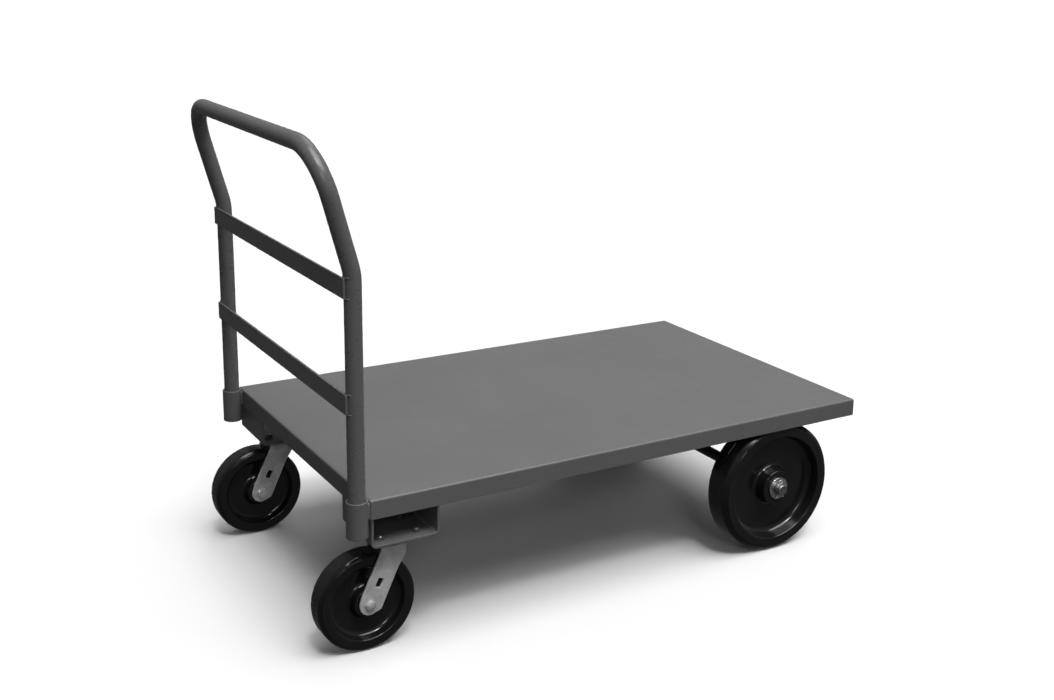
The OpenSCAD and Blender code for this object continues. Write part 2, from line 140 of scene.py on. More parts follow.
def fillet(corners, closed=True, step=12.0):
    """Line through corners (point, radius), each corner rounded to its radius. Points are 2-D or 3-D."""
    points, share = [], 0.495           # share of a line that one corner's rounding may take up
    for i, (corner, r) in enumerate(corners):
        here = Vector(corner)
        if r == 0 or (not closed and i in (0, len(corners) - 1)):
            points.append(here)
            continue
        back = Vector(corners[i - 1][0]) - here
        ahead = Vector(corners[(i + 1) % len(corners)][0]) - here
        half = back.angle(ahead) / 2
        arm = min(r / math.tan(half), share * back.length, share * ahead.length)
        r = arm * math.tan(half)
        back, ahead = back.normalized(), ahead.normalized()
        centre = here + (back + ahead).normalized() * r / math.sin(half)
        first, last = here + back * arm - centre, here + ahead * arm - centre
        count = max(2, math.ceil((math.pi - 2 * half) / math.radians(step)))
        turn = math.pi - 2 * half
        for k in range(count + 1):
            t = k / count
            points.append(centre + first * (math.sin((1 - t) * turn) / math.sin(turn))
                          + last * (math.sin(t * turn) / math.sin(turn)))
    return points


def box_outline(half_x, half_y, r, step=12.0):
    sides = [(-half_x, -half_y), (half_x, -half_y), (half_x, half_y), (-half_x, half_y)]
    return fillet([(p, r) for p in sides], step=step)


def round_angles(count):
    """Angles of equal steps round a circle."""
    return [2 * math.pi * k / count for k in range(count)]


def round_hole(x, y, r, steps=40):
    """Hole outline, clockwise, so that the material lies on its left."""
    turns = [-t for t in round_angles(steps)]
    return [Vector((x + r * math.cos(t), y + r * math.sin(t))) for t in turns]


def moved_in(loop, by):
    """A closed outline moved into its material by a distance."""
    sharpest = 0.4                      # keeps the shift at a sharp corner short
    out = []
    for i, p in enumerate(loop):
        a, b = (p - loop[i - 1]).normalized(), (loop[(i + 1) % len(loop)] - p).normalized()
        left = Vector((-a.y, a.x))
        across = (left + Vector((-b.y, b.x))).normalized()
        out.append(p + across * by / max(sharpest, across.dot(left)))
    return out


def edge_steps(low, high, edge):
    """(inset, height) pairs up one side of a slab whose two edges are rounded."""
    count = 3
    turns = [math.pi / 2 * k / count for k in range(count + 1)]
    lower = [(edge * (1 - math.sin(t)), low + edge * (1 - math.cos(t))) for t in turns]
    return lower + [(inset, low + high - z) for inset, z in reversed(lower)]


def skin(bm, rings, ends="cap"):
    """Faces between rings of equally many points. ends: cap, open, or join the last ring to the first."""
    rows = [[bm.verts.new(p) for p in ring] for ring in rings]
    pairs = list(zip(rows, rows[1:])) + ([(rows[-1], rows[0])] if ends == "join" else [])
    for a, b in pairs:
        for i in range(len(a)):
            bm.faces.new((a[i - 1], a[i], b[i], b[i - 1]))
    if ends == "cap":
        bm.faces.new(rows[0])
        bm.faces.new(reversed(rows[-1]))
    return rows


def started():
    """New mesh whose points carry edge_wear, the share of the finish that is rubbed there."""
    bm = bmesh.new()
    bm.verts.layers.float.new("edge_wear")
    return bm


def wear_rows(bm, rows, shares):
    """Sets edge_wear along rows of points, one share for each row."""
    layer = bm.verts.layers.float["edge_wear"]
    for row, share in zip(rows, shares):
        for v in row:
            v[layer] = share


def slab(bm, loops, low, high, edge, place=None, worn=1.0, margin=1.4):
    """Flat piece between two heights: outline first, then hole outlines, with rounded edges all round."""
    place = place or Matrix.Identity(4)
    steps = edge_steps(low, high, edge)
    rims = {True: [], False: []}
    for loop in loops:
        levels = [(edge + margin, low, 0)] + [(i, z, worn) for i, z in steps] + [(edge + margin, high, 0)]
        rings = [[place @ Vector((p.x, p.y, z)) for p in moved_in(loop, inset)] for inset, z, _ in levels]
        rows = skin(bm, rings, "open")
        wear_rows(bm, rows, [level[2] for level in levels])
        for top, row in ((False, rows[0]), (True, rows[-1])):
            rims[top] += [bm.edges.get((row[i - 1], row[i])) for i in range(len(row))]
    for edges in rims.values():
        bmesh.ops.triangle_fill(bm, use_beauty=True, use_dissolve=False, edges=edges)


def spaced(profile):
    """A profile with a point added near both ends of each long run, so that wear stays at the edges."""
    near = 2.0
    out = []
    for a, b in zip(profile, profile[1:] + profile[:1]):
        a, b = Vector(a), Vector(b)
        out.append(tuple(a))
        if (b - a).length > 3 * near:
            out += [tuple(a + (b - a).normalized() * near), tuple(b - (b - a).normalized() * near)]
    return out


def turned(bm, profile, place, steps, ends="join", worn=None):
    """Lathed piece. profile holds (radius, height) points; place carries +Z onto the piece's axis."""
    if worn:
        profile = spaced(profile)
    turns = round_angles(steps)
    rings = [[place @ Vector((r * math.cos(t), r * math.sin(t), z)) for t in turns] for r, z in profile]
    rows = skin(bm, rings, ends)
    if worn:
        wear_rows(bm, rows, [worn(r, z) for r, z in profile])


def sweep(bm, path, radius, sides, bore=0.0):
    """Bar or pipe along a path. radius is one number, or one for each point of the path."""
    radii = radius if isinstance(radius, (list, tuple)) else [radius] * len(path)
    last = len(path) - 1
    tangents = [(path[min(i + 1, last)] - path[max(i - 1, 0)]).normalized() for i in range(len(path))]
    side = tangents[0].orthogonal().normalized()
    turns = round_angles(sides)
    frames = []
    for i, t in enumerate(tangents):
        if i:
            side = tangents[i - 1].rotation_difference(t) @ side
        side = (side - t * side.dot(t)).normalized()
        frames.append((side.copy(), t.cross(side)))

    def ring(i, r):
        u, v = frames[i]
        return [path[i] + (u * math.cos(a) + v * math.sin(a)) * r for a in turns]

    rings = [ring(i, radii[i]) for i in range(len(path))]
    if bore:
        rings += [ring(i, bore) for i in reversed(range(len(path)))]
    skin(bm, rings, "join" if bore else "cap")


def bead(bm, points, r):
    """Weld bead along a line: small overlapping ripples, thinner at both ends."""
    ring_gap, pitch = 0.55, 2.3
    thinnest, taper_run = 0.55, 2.5 * r
    spots = []
    for a, b in zip(points, points[1:]):
        count = max(1, round((b - a).length / ring_gap))
        spots += [a.lerp(b, k / count) for k in range(count)]
    spots.append(points[-1])
    length, run, radii = sum((b - a).length for a, b in zip(spots, spots[1:])), 0.0, []
    for i, p in enumerate(spots):
        run += (p - spots[i - 1]).length if i else 0.0
        taper = min(1.0, thinnest + min(run, length - run) / taper_run)
        wander = 0.05 * math.sin(run * 0.71 + p.x) + 0.04 * math.sin(run * 0.23 + p.z)
        ripple = 0.13 * abs(math.sin(math.pi * run / pitch))
        radii.append(r * taper * (0.9 + wander + ripple))
    sweep(bm, spots, radii, sides=14)


def hex_rings(across, low, high, chamfers, face):
    """Rings up a hexagon. A chamfered end is cut by a cone that leaves it flat over the share face."""
    flat, chamfer, plain_edge = across / 2, math.radians(30), 0.02
    turns = round_angles(HEX_STEPS)
    reach = [flat / math.cos((t + math.pi / 6) % (math.pi / 3) - math.pi / 6) for t in turns]
    face_r, fall = flat * face, math.tan(chamfer)
    rings = []
    for z, sign, cut in ((low, 1, chamfers[0]), (high, -1, chamfers[1])):
        end = [(min(r, face_r) if cut else r, z) for r in reach]
        side = [(r, z + sign * (max(0.0, r - face_r) * fall if cut else plain_edge)) for r in reach]
        rings += [end, side] if sign > 0 else [side, end]
    return [[Vector((r * math.cos(t), r * math.sin(t), z)) for (r, z), t in zip(ring, turns)]
            for ring in rings]


def hexagon(bm, across, low, high, place, chamfers=(True, True), bore=0.0, face=HEX_FACE):
    """Hexagon head, or a nut where there is a bore. chamfers says which of its two ends are cut."""
    rings = hex_rings(across, low, high, chamfers, face)
    if bore:
        turns = round_angles(HEX_STEPS)
        rings += [[Vector((bore * math.cos(t), bore * math.sin(t), z)) for t in turns] for z in (high, low)]
    skin(bm, [[place @ p for p in ring] for ring in rings], "join" if bore else "cap")


def thread(bm, r, low, high, place, pitch=1.5, depth=0.55):
    """Threaded bar whose upper end is chamfered."""
    root, plain, tip = r - depth, r - 0.1, 1.0
    profile, z = [(root, low)], low
    while z + pitch < high - tip:
        profile += [(root, z + pitch * 0.1), (r, z + pitch * 0.42), (r, z + pitch * 0.58),
                    (root, z + pitch * 0.9)]
        z += pitch
    profile += [(plain, z + 0.15), (plain, high - 0.9 * tip), (r - tip, high)]
    turned(bm, profile, place, steps=40, ends="cap")


def frame_at(origin, u, v, w):
    """Matrix that carries X, Y, Z onto the directions u, v, w at an origin."""
    m = Matrix.Identity(4)
    for i, axis in enumerate((u, v, w, origin)):
        for k in range(3):
            m[k][i] = axis[k]
    return m


def shown(name, data):
    """Puts a mesh, lamp or camera into the scene."""
    made = bpy.data.objects.new(name, data)
    bpy.context.scene.collection.objects.link(made)
    return made


def mesh_of(bm, name, material):
    """Mesh with one material, from a bmesh that is freed."""
    mesh = bpy.data.meshes.new(name)
    bm.to_mesh(mesh)
    bm.free()
    mesh.materials.append(material)
    return mesh


def finished(bm, node, material, sharp=34.0, even=True):
    """Turns the mesh into the shown piece that stands for a CAD node and rides on its body."""
    bmesh.ops.recalc_face_normals(bm, faces=bm.faces)
    bm.transform(Matrix.Scale(MM, 4))
    mesh = mesh_of(bm, node + "_look", material)
    mesh.shade_smooth()
    mesh.set_sharp_from_angle(angle=math.radians(sharp))
    made = shown(mesh.name, mesh)
    if even:
        steady = made.modifiers.new("even_normals", "WEIGHTED_NORMAL")
        steady.keep_sharp = True
    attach(made, BODY_OF[node])
    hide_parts(node)


# ---- materials ----
# Noise scales count features to the metre.

# tone, roughness, waviness and scuffs of each enamel
ENAMELS = {
    "deck_enamel": (0.113, 0.43, 0.02, 0.4),
    "frame_enamel": (0.108, 0.38, 0.0, 0.25),
    "handle_enamel": (0.107, 0.28, 0.0, 0.2),
}
# tone, roughness, mottle, grain and share of metal of each plating
PLATINGS = {
    "zinc_plate": (0.62, 0.38, 0.22, 0.14, 0.35),
    # darker copy of zinc_plate: painted shade on the caster plate and race under the channel
    "race_zinc_painted_shade": (0.2, 0.4, 0.2, 0.14, 0.35),
    "bright_zinc": (0.62, 0.22, 0.45, 0.3, 0.9),
    "dull_zinc": (0.15, 0.34, 0.3, 0.2, 0.5),
    # brightest zinc: the head's own plating, lightened further as a painted glint
    "head_zinc_with_painted_glint": (0.85, 0.2, 0.6, 0.3, 0.5),
    "stud_zinc": (0.32, 0.3, 0.3, 0.2, 0.8),
    "pin_wire": (0.75, 0.3, 0.15, 0.1, 0.6),
}


class Shader:
    """One material, with short names for the nodes that it is made of."""

    def __init__(self, name, **sockets):
        self.material = bpy.data.materials.new(name)
        self.material.use_nodes = True
        self.tree = self.material.node_tree
        self.tree.nodes.clear()
        self.surface = self.add("ShaderNodeBsdfPrincipled")
        self.link(self.surface.outputs[0], self.add("ShaderNodeOutputMaterial").inputs[0])
        self.place = self.add("ShaderNodeTexCoord").outputs["Object"]
        for socket, value in sockets.items():
            self.surface.inputs[socket.replace("_", " ")].default_value = value

    def add(self, kind, **settings):
        node = self.tree.nodes.new(kind)
        for key, value in settings.items():
            setattr(node, key, value)
        return node

    def link(self, output, socket):
        self.tree.links.new(output, socket)

    def put(self, output, socket):
        self.link(output, self.surface.inputs[socket])

    def feed(self, socket, value):
        """Gives a socket a plain value, or links it to another node's."""
        if isinstance(value, bpy.types.NodeSocket):
            self.link(value, socket)
        else:
            socket.default_value = value

    def stretched(self, x, y, z):
        node = self.add("ShaderNodeMapping")
        self.link(self.place, node.inputs["Vector"])
        node.inputs["Scale"].default_value = (x, y, z)
        return node.outputs[0]

    def noise(self, scale, detail=3.0, rough=0.5, place=None, twist=0.0):
        node = self.add("ShaderNodeTexNoise")
        self.link(place or self.place, node.inputs["Vector"])
        node.inputs["Scale"].default_value = scale
        node.inputs["Detail"].default_value = detail
        node.inputs["Roughness"].default_value = rough
        node.inputs["Distortion"].default_value = twist
        return node.outputs[0]

    def spread(self, value, low, high, to_low=0.0, to_high=1.0):
        """The value, carried smoothly from the range low to high onto the range to_low to to_high."""
        node = self.add("ShaderNodeMapRange", interpolation_type="SMOOTHSTEP")
        for i, x in enumerate((value, low, high, to_low, to_high)):
            self.feed(node.inputs[i], x)
        return node.outputs[0]

    def math(self, operation, a, b):
        node = self.add("ShaderNodeMath", operation=operation)
        self.feed(node.inputs[0], a)
        self.feed(node.inputs[1], b)
        return node.outputs[0]

    def mix(self, share, a, b):
        node = self.add("ShaderNodeMix", data_type="RGBA")
        self.feed(node.inputs[0], share)
        for socket, value in ((node.inputs[6], a), (node.inputs[7], b)):
            self.feed(socket, value if isinstance(value, bpy.types.NodeSocket) else (*value, 1.0))
        return node.outputs[2]

    def bump(self, height, strength, distance, under=None):
        node = self.add("ShaderNodeBump")
        self.link(height, node.inputs["Height"])
        node.inputs["Strength"].default_value = strength
        node.inputs["Distance"].default_value = distance
        if under is not None:
            self.link(under, node.inputs["Normal"])
        return node.outputs[0]

    def edge_wear(self):
        return self.add("ShaderNodeAttribute", attribute_name="edge_wear").outputs["Fac"]


def grey(value, warm=0.0):
    """Grey base colour, redder and less blue by the share warm."""
    return (value * (1 + warm), value, value * (1 - warm))


def enamel(name, tone, shine, wavy, scuffed):
    """Satin grey enamel on steel: orange peel, slow drift of tone, fine scuffs, edges rubbed lighter."""
    s = Shader(name, Specular_IOR_Level=0.45)
    drift = s.spread(s.noise(3.1, 3), 0.3, 0.7)
    cloud = s.spread(s.noise(19, 5, 0.6), 0.35, 0.7)
    colour = s.mix(drift, grey(tone * 0.96), grey(tone * 1.04))
    colour = s.mix(s.math("MULTIPLY", cloud, 0.25), colour, grey(tone * 1.08))
    scratch = s.spread(s.noise(60, 4, 0.7, s.stretched(1, 14, 1), 1.5), 0.66, 0.74)
    rub = s.spread(s.noise(9, 6, 0.7), 0.58, 0.72)
    scuff = s.math("MULTIPLY", s.math("MULTIPLY", scratch, rub), scuffed)
    colour = s.mix(scuff, colour, grey(tone * 1.35))
    speck = s.spread(s.noise(240, 2, 0.5), 0.72, 0.8, 0.0, 0.25)
    colour = s.mix(speck, colour, grey(tone * 0.7))
    chips = s.math("MULTIPLY", s.edge_wear(), s.spread(s.noise(130, 5, 0.7), 0.46, 0.7))
    colour = s.mix(s.math("MULTIPLY", chips, 0.4), colour, grey(tone * 1.9, 0.02))
    s.put(colour, "Base Color")
    rough = s.math("ADD", s.spread(s.noise(26, 5, 0.65), 0.3, 0.75, shine - 0.03, shine + 0.05),
                   s.math("MULTIPLY", scuff, 0.2))
    s.put(rough, "Roughness")
    peel = s.bump(s.noise(420, 2, 0.4), 0.1, 0.0003)
    if wavy:
        peel = s.bump(s.noise(5.5, 2, 0.4), wavy, 0.02, peel)
    s.put(s.bump(scuff, 0.25, 0.0003, peel), "Normal")
    return s.material


def plated(name, tone, shine, mottle, grain, metal):
    """Zinc-plated steel: cloudy satin metal with fine die lines, darker stains and brighter edges."""
    s = Shader(name, Metallic=metal)
    cloud = s.spread(s.noise(34, 6, 0.65, None, 0.6), 0.32, 0.7)
    colour = s.mix(cloud, grey(tone * (1 - mottle), 0.01), grey(tone * (1 + mottle * 0.6)))
    fine = s.spread(s.noise(210, 4, 0.7), 0.35, 0.7)
    colour = s.mix(s.math("MULTIPLY", fine, 0.4), colour, grey(tone * 0.82))
    stain = s.spread(s.noise(70, 5, 0.7, None, 2.0), 0.62, 0.74, 0.0, 0.5)
    colour = s.mix(stain, colour, grey(tone * 0.55, 0.02))
    rub = s.math("MULTIPLY", s.edge_wear(), s.spread(s.noise(95, 4), 0.35, 0.65, 0.2, 0.8))
    colour = s.mix(rub, colour, grey(min(0.9, tone * 1.35)))
    s.put(colour, "Base Color")
    s.put(s.spread(s.noise(48, 6, 0.7), 0.3, 0.72, shine - 0.09, shine + 0.1), "Roughness")
    lines = s.bump(s.noise(120, 3, 0.6, s.stretched(1, 1, 9)), grain, 0.0003)
    s.put(s.bump(s.noise(330, 3, 0.6), grain * 1.4, 0.0003, lines), "Normal")
    return s.material


def axle_finish():
    """Black paint on the bar, bare sawn steel on its two worn ends."""
    s = Shader("axle_black", Specular_IOR_Level=0.35)
    bare = s.spread(s.edge_wear(), 0.3, 0.7)
    paint = s.mix(s.spread(s.noise(30, 5, 0.6), 0.3, 0.7), grey(0.009), grey(0.015))
    steel = s.mix(s.spread(s.noise(190, 5, 0.7), 0.35, 0.68), grey(0.2, 0.02), grey(0.42, 0.02))
    s.put(s.mix(bare, paint, steel), "Base Color")
    s.put(bare, "Metallic")
    s.put(s.spread(s.noise(55, 5, 0.6), 0.3, 0.7, 0.32, 0.5), "Roughness")
    saw = s.bump(s.noise(260, 3, 0.6, s.stretched(1, 1, 7)), 0.3, 0.0003)
    s.put(s.bump(s.noise(400, 2, 0.5), 0.12, 0.0004, saw), "Normal")
    return s.material


def moulded_black():
    """Glossy black moulding: faint flow marks, fine pits, and a duller, dusty tread."""
    s = Shader("wheel_black", Specular_IOR_Level=0.5)
    worn = s.edge_wear()
    dust = s.math("MULTIPLY", worn, s.spread(s.noise(46, 6, 0.7), 0.34, 0.7, 0.15, 1.0))
    cloud = s.spread(s.noise(14, 4), 0.35, 0.7)
    colour = s.mix(cloud, grey(0.006), grey(0.0095))
    s.put(s.mix(s.math("MULTIPLY", dust, 0.6), colour, grey(0.013, 0.03)), "Base Color")
    base = s.spread(s.noise(38, 5, 0.6), 0.3, 0.72, 0.13, 0.22)
    s.put(s.math("ADD", base, s.math("MULTIPLY", dust, 0.14)), "Roughness")
    flow = s.bump(s.noise(22, 3, 0.5), 0.1, 0.002)
    s.put(s.bump(s.noise(520, 2, 0.5), 0.09, 0.0003, flow), "Normal")
    return s.material


def bearing_metal():
    """Oiled bearing steel, with rings of turning marks and dark grease in patches."""
    s = Shader("bearing_metal", Metallic=1.0)
    grease = s.spread(s.noise(90, 5, 0.7), 0.42, 0.62)
    s.put(s.mix(grease, grey(0.42, 0.02), grey(0.14, 0.05)), "Base Color")
    s.put(s.spread(s.noise(60, 4), 0.3, 0.7, 0.24, 0.46), "Roughness")
    s.put(s.bump(s.noise(300, 2, 0.5, s.stretched(1, 6, 1)), 0.12, 0.0002), "Normal")
    return s.material


def pale_floor():
    """Pale studio floor with a faint, slow mottle."""
    s = Shader("pale_floor", Specular_IOR_Level=0.2)
    s.put(s.mix(s.spread(s.noise(1.3, 2), 0.3, 0.7), grey(0.745), grey(0.755)), "Base Color")
    s.put(s.spread(s.noise(6, 4), 0.3, 0.7, 0.7, 0.8), "Roughness")
    s.put(s.bump(s.noise(260, 2, 0.5), 0.03, 0.0005), "Normal")
    return s.material


# ---- deck and frame ----
def deck_pan(material):
    """Sheet pan: flat top, four rounded folds, lips with rounded raw edges, and its hollow underside."""
    bm = started()
    half_x, mid_x = (DECK_HIGH.x - DECK_LOW.x) / 2, (DECK_HIGH.x + DECK_LOW.x) / 2
    foot, inner_r = DECK_LOW.z, FOLD_R - DECK_SHEET
    flat_in, least_r = 60.0, 0.4        # inset of the rings that bound the flats, and their corners
    fold_worn, raw_worn, bends = 0.8, 0.9, 7
    quarter = [math.pi / 2 * k / bends for k in range(bends + 1)]
    # (inset, height, wear) from the top, down round the lip and up again to the underside
    levels = [(flat_in, DECK_TOP, 0.0), (FOLD_R + 5, DECK_TOP, 0.0)]
    levels += [(FOLD_R * (1 - math.sin(t)), DECK_TOP - FOLD_R * (1 - math.cos(t)),
                math.sin(2 * t) * fold_worn) for t in quarter]
    levels += [(0.0, DECK_TOP - FOLD_R - 3, 0.0), (0.0, foot + RAW_R + 2, 0.0)]
    levels += [(inset, z, raw_worn) for inset, z in (
        (0.0, foot + RAW_R), (RAW_R * 0.3, foot + RAW_R * 0.3), (RAW_R, foot),
        (DECK_SHEET - RAW_R, foot), (DECK_SHEET, foot + RAW_R))]
    levels += [(DECK_SHEET, foot + RAW_R + 2, 0.0)]
    levels += [(DECK_SHEET + inner_r * (1 - math.cos(t)), UNDER_DECK - inner_r * (1 - math.sin(t)), 0.0)
               for t in quarter]
    levels += [(flat_in, UNDER_DECK, 0.0)]
    rings = []
    for inset, z, _ in levels:
        r = max(least_r, PAN_CORNER - min(inset, DECK_SHEET)) if inset < flat_in else least_r
        loop = box_outline(half_x - inset, HALF_WID - inset, r, step=15)
        rings.append([Vector((p.x + mid_x, p.y, z)) for p in loop])
    wear_rows(bm, skin(bm, rings), [level[2] for level in levels])
    finished(bm, "deck_pan", material)


def channel_loop(wid, high, sheet, bend):
    """Outline of a folded channel, open at the top, from its lower left corner."""
    inner = bend - sheet
    return fillet([((0, high), 0), ((0, 0), bend), ((wid, 0), bend), ((wid, high), 0),
                   ((wid - sheet, high), 0), ((wid - sheet, sheet), inner), ((sheet, sheet), inner),
                   ((sheet, high), 0)], step=15)


def folded_channel(node, sheet, bend):
    """Mesh of a channel that fills a node's box, and the corners of that box."""
    low, high = span(node)
    bm = started()
    loop = channel_loop(high.x - low.x, high.z - low.z, sheet, bend)
    slab(bm, [loop], 0, high.y - low.y, RAW_R, frame_at(low, *ALONG_Y), worn=0.8, margin=0.5)
    return bm, low, high


def deck_rib(node, material):
    """Channel under the deck, held by short stitch welds along both its walls."""
    bm, low, high = folded_channel(node, RIB_SHEET, RIB_BEND)
    half_long, end_gap, per_half = 14, 60, 3
    for x in (low.x - 0.6, high.x + 0.6):
        for k in range(-per_half, per_half + 1):
            y, z = k * (high.y - end_gap) / per_half, UNDER_DECK - 1
            bead(bm, [Vector((x, y - half_long, z)), Vector((x, y + half_long, z))], 2.0)
    finished(bm, node, material)


def caster_channel(node, material):
    """Channel that drops a caster below the deck, and the bead along its inner wall."""
    bm, low, high = folded_channel(node, CHANNEL_SHEET, CHANNEL_BEND)
    x, z, end_gap = high.x + 0.8, UNDER_DECK - 1.2, 6
    bead(bm, [Vector((x, low.y + end_gap, z)), Vector((x, high.y - end_gap, z))], 2.6)
    finished(bm, node, material)


def socket(node, side, material):
    """Pipe with a floor and a drain hole, and the weld that fills the notch between it and the lip."""
    low, high = span(node)
    bm = started()
    axis = Matrix.Translation((LEG_X, side * LEG_Y, 0))
    bore, floor = SOCKET_R - SOCKET_WALL, low.z + SOCKET_FLOOR
    foot_r, rim_r, worn_high = 1.2, 0.9, 1.5
    profile = fillet([((DRAIN_R, low.z), 0), ((SOCKET_R, low.z), foot_r), ((SOCKET_R, high.z), rim_r),
                      ((bore, high.z), rim_r), ((bore, floor), 1.0), ((DRAIN_R, floor), 0.6)], step=30)
    turned(bm, profile, axis, 72, worn=lambda r, z: 0.6 if z < low.z + worn_high else 0.0)
    for flank in (-1, 1):
        socket_weld(bm, axis, flank, high.z)
    finished(bm, node, material)


def socket_weld(bm, axis, flank, top):
    """Upright weld in the notch, slightly rippled, from the lip's lower edge to the fold."""
    start, stop = DECK_LOW.z + 1.2, top - FOLD_R - 0.4
    lip = -LEG_X + END_X - 0.1          # just short of the lip's face, from the socket's axis
    root, edge = 6.0, 13.7              # where it begins and ends along Y
    pitch, thinnest, taper_run = 2.6, 0.6, 4
    ring_gap = 0.7
    rings, count = [], round((stop - start) / ring_gap)
    for k in range(count + 1):
        z = start + (stop - start) * k / count
        ripple = 0.45 * abs(math.sin(math.pi * (z - start) / pitch))
        out = edge - 0.5 + ripple + 0.1 * math.sin(z * 0.9)
        crown = out * min(1.0, thinnest + min(z - start, stop - z) / taper_run)
        pipe = math.sqrt(SOCKET_R ** 2 - crown ** 2) - 1.0
        outline = [(pipe - 4, root), (lip, root), (lip, crown - 1.5), (lip - 0.4, crown - 0.4),
                   (lip - 1.4, crown), (pipe + 1, crown), (pipe, crown - 0.6), (pipe - 1, crown - 2.5)]
        rings.append([axis @ Vector((x, y * flank, z)) for x, y in outline])
    skin(bm, rings)


def axle_hanger(node, side, material):
    """Plate that carries the axle, its flange turned in under the deck, and the bead between the two."""
    low, high = span(node)
    axle = middle("rear_axle")
    half, top, shoulder = (high.x - low.x) / 2, UNDER_DECK - HANGER_SHEET, UNDER_DECK - HANGER_SHOULDER
    shoulder_r, edge, eye_steps = 16, 0.6, 24
    bm = started()
    turns = [math.pi + math.pi * k / eye_steps for k in range(eye_steps + 1)]
    eye = [((HANGER_EYE_R * math.cos(t), axle.z + HANGER_EYE_R * math.sin(t)), 0) for t in turns]
    face = fillet([((-half, top), 0), ((-half, shoulder), shoulder_r)] + eye
                  + [((half, shoulder), shoulder_r), ((half, top), 0)])
    outer = side * max(abs(low.y), abs(high.y))
    inner = side * min(abs(low.y), abs(high.y))
    place = frame_at((axle.x, outer, 0), (1, 0, 0), (0, 0, 1), (0, -side, 0))
    slab(bm, [face, round_hole(0, axle.z, AXLE_R)], 0, HANGER_SHEET, edge, place)
    flange = box_outline(half, abs(outer - inner) / 2, 3)
    slab(bm, [flange], 0, HANGER_SHEET, edge, Matrix.Translation((axle.x, (outer + inner) / 2, top)))
    y = outer - side * (HANGER_SHEET + 1.2)
    bead(bm, [Vector((axle.x - half + 4, y, top - 1)), Vector((axle.x + half - 4, y, top - 1))], 2.8)
    weld_r, weld_y = AXLE_R + 1, outer - side * (HANGER_SHEET + 0.6)
    ring = [Vector((axle.x + weld_r * math.cos(t), weld_y, axle.z + weld_r * math.sin(t)))
            for t in round_angles(60) + [2 * math.pi]]
    bead(bm, ring, 2.2)
    finished(bm, node, material)


# ---- handle ----
def lean_point(up):
    """Point on the right leg's centre line, a distance above the knee along the lean."""
    return Vector((LEG_X - up * math.sin(LEAN), -LEG_Y, KNEE_Z + up * math.cos(LEAN)))


def handle_tube(material):
    """Bent pipe: right leg, knee, top corner, grip, and the same again down the left leg."""
    top = lean_point((GRIP_Z - KNEE_Z) / math.cos(LEAN))
    right = [((LEG_X, -LEG_Y, LEG_FOOT), 0), ((LEG_X, -LEG_Y, KNEE_Z), KNEE_R), (tuple(top), CORNER_R)]
    left = [((x, -y, z), r) for (x, y, z), r in reversed(right)]
    path = fillet(right + left, closed=False, step=5)
    ring_gap = 40
    spots = []
    for a, b in zip(path, path[1:]):
        count = max(1, round((b - a).length / ring_gap))
        spots += [a.lerp(b, k / count) for k in range(count)]
    bm = started()
    sweep(bm, spots + [path[-1]], TUBE_R, sides=48, bore=TUBE_BORE)
    finished(bm, "handle_tube", material, sharp=50, even=False)


def handle_bar(node, material):
    """Flat bar with sheared ends, and its weld beads along both edges where it crosses the legs."""
    low, high = span(node)
    mid = (low + high) / 2
    bm = started()
    loop = box_outline((high.y - low.y) / 2, (high.z - low.z) / 2, 1.2, step=30)
    place = frame_at((high.x, mid.y, mid.z), (0, 1, 0), (0, 0, 1), (-1, 0, 0))
    slab(bm, [loop], 0, high.x - low.x, 0.55, place, worn=0.3)
    weld_r, weld_y = TUBE_R + 0.3, 7.6
    turns = [math.radians(a) for a in range(-44, 45, 4)]
    for side in (-1, 1):
        for z in (low.z - 0.5, high.z + 0.5):
            bead(bm, [Vector((LEG_X - weld_r * math.cos(t), side * LEG_Y + weld_r * math.sin(t), z))
                      for t in turns], 1.6)
        for flank in (-1, 1):
            x, y = high.x + 1.0, side * LEG_Y + flank * weld_y
            if abs(y) < high.y - 1:
                bead(bm, [Vector((x, y, low.z + 2)), Vector((x, y, high.z - 2))], 1.3)
    finished(bm, node, material)


# ---- casters ----
def kingpin(side):
    return middle("caster_kingpin" + NAME_END[side])


def caster_axle(side):
    return middle("caster_wheel" + NAME_END[side])


def to_near_side(origin):
    """Place on a wheel's axis whose +Z points to the cart's -Y side."""
    return frame_at(origin, (1, 0, 0), (0, 0, 1), (0, -1, 0))


def caster_plate(node, side, material):
    """Top plate with its pressed race: flared skirt whose lower rim is rounded."""
    low, high = span(node)
    pin = kingpin(side)
    bm = started()
    bottom = high.z - PLATE_SHEET
    place = Matrix.Translation((pin.x, pin.y, 0))
    loop = box_outline((high.x - low.x) / 2, (high.y - low.y) / 2, 6)
    holes = [round_hole(x * PLATE_BOLT, y * PLATE_BOLT, PLATE_BOLT_R + 0.3, 24)
             for x in (-1, 1) for y in (-1, 1)]
    slab(bm, [loop] + holes, bottom, high.z, 0.8, place, margin=1.0)
    inner, flare, rim_r, worn_high = RACE_R - RACE_WALL, 4, 0.9, 1.2
    profile = fillet([((RACE_R + flare, bottom + 0.6), 0), ((RACE_R, bottom - 0.2), 3.0),
                      ((RACE_R, low.z), rim_r), ((inner, low.z), rim_r), ((inner, bottom + 0.6), 1.5)],
                     step=20)
    turned(bm, profile, place, 80, worn=lambda r, z: 1.0 if z < low.z + worn_high else 0.0)
    finished(bm, node, material)


def plate_bolt_places(side):
    """Sign along X, sign along Y, and place, of the four bolts round a kingpin."""
    pin = kingpin(side)
    for x in (-1, 1):
        for y in (-1, 1):
            yield x, y, Matrix.Translation((pin.x + x * PLATE_BOLT, pin.y + y * PLATE_BOLT, 0))


def spun(place, degrees):
    """A place turned about its own axis."""
    return place @ Matrix.Rotation(math.radians(degrees), 4, "Z")


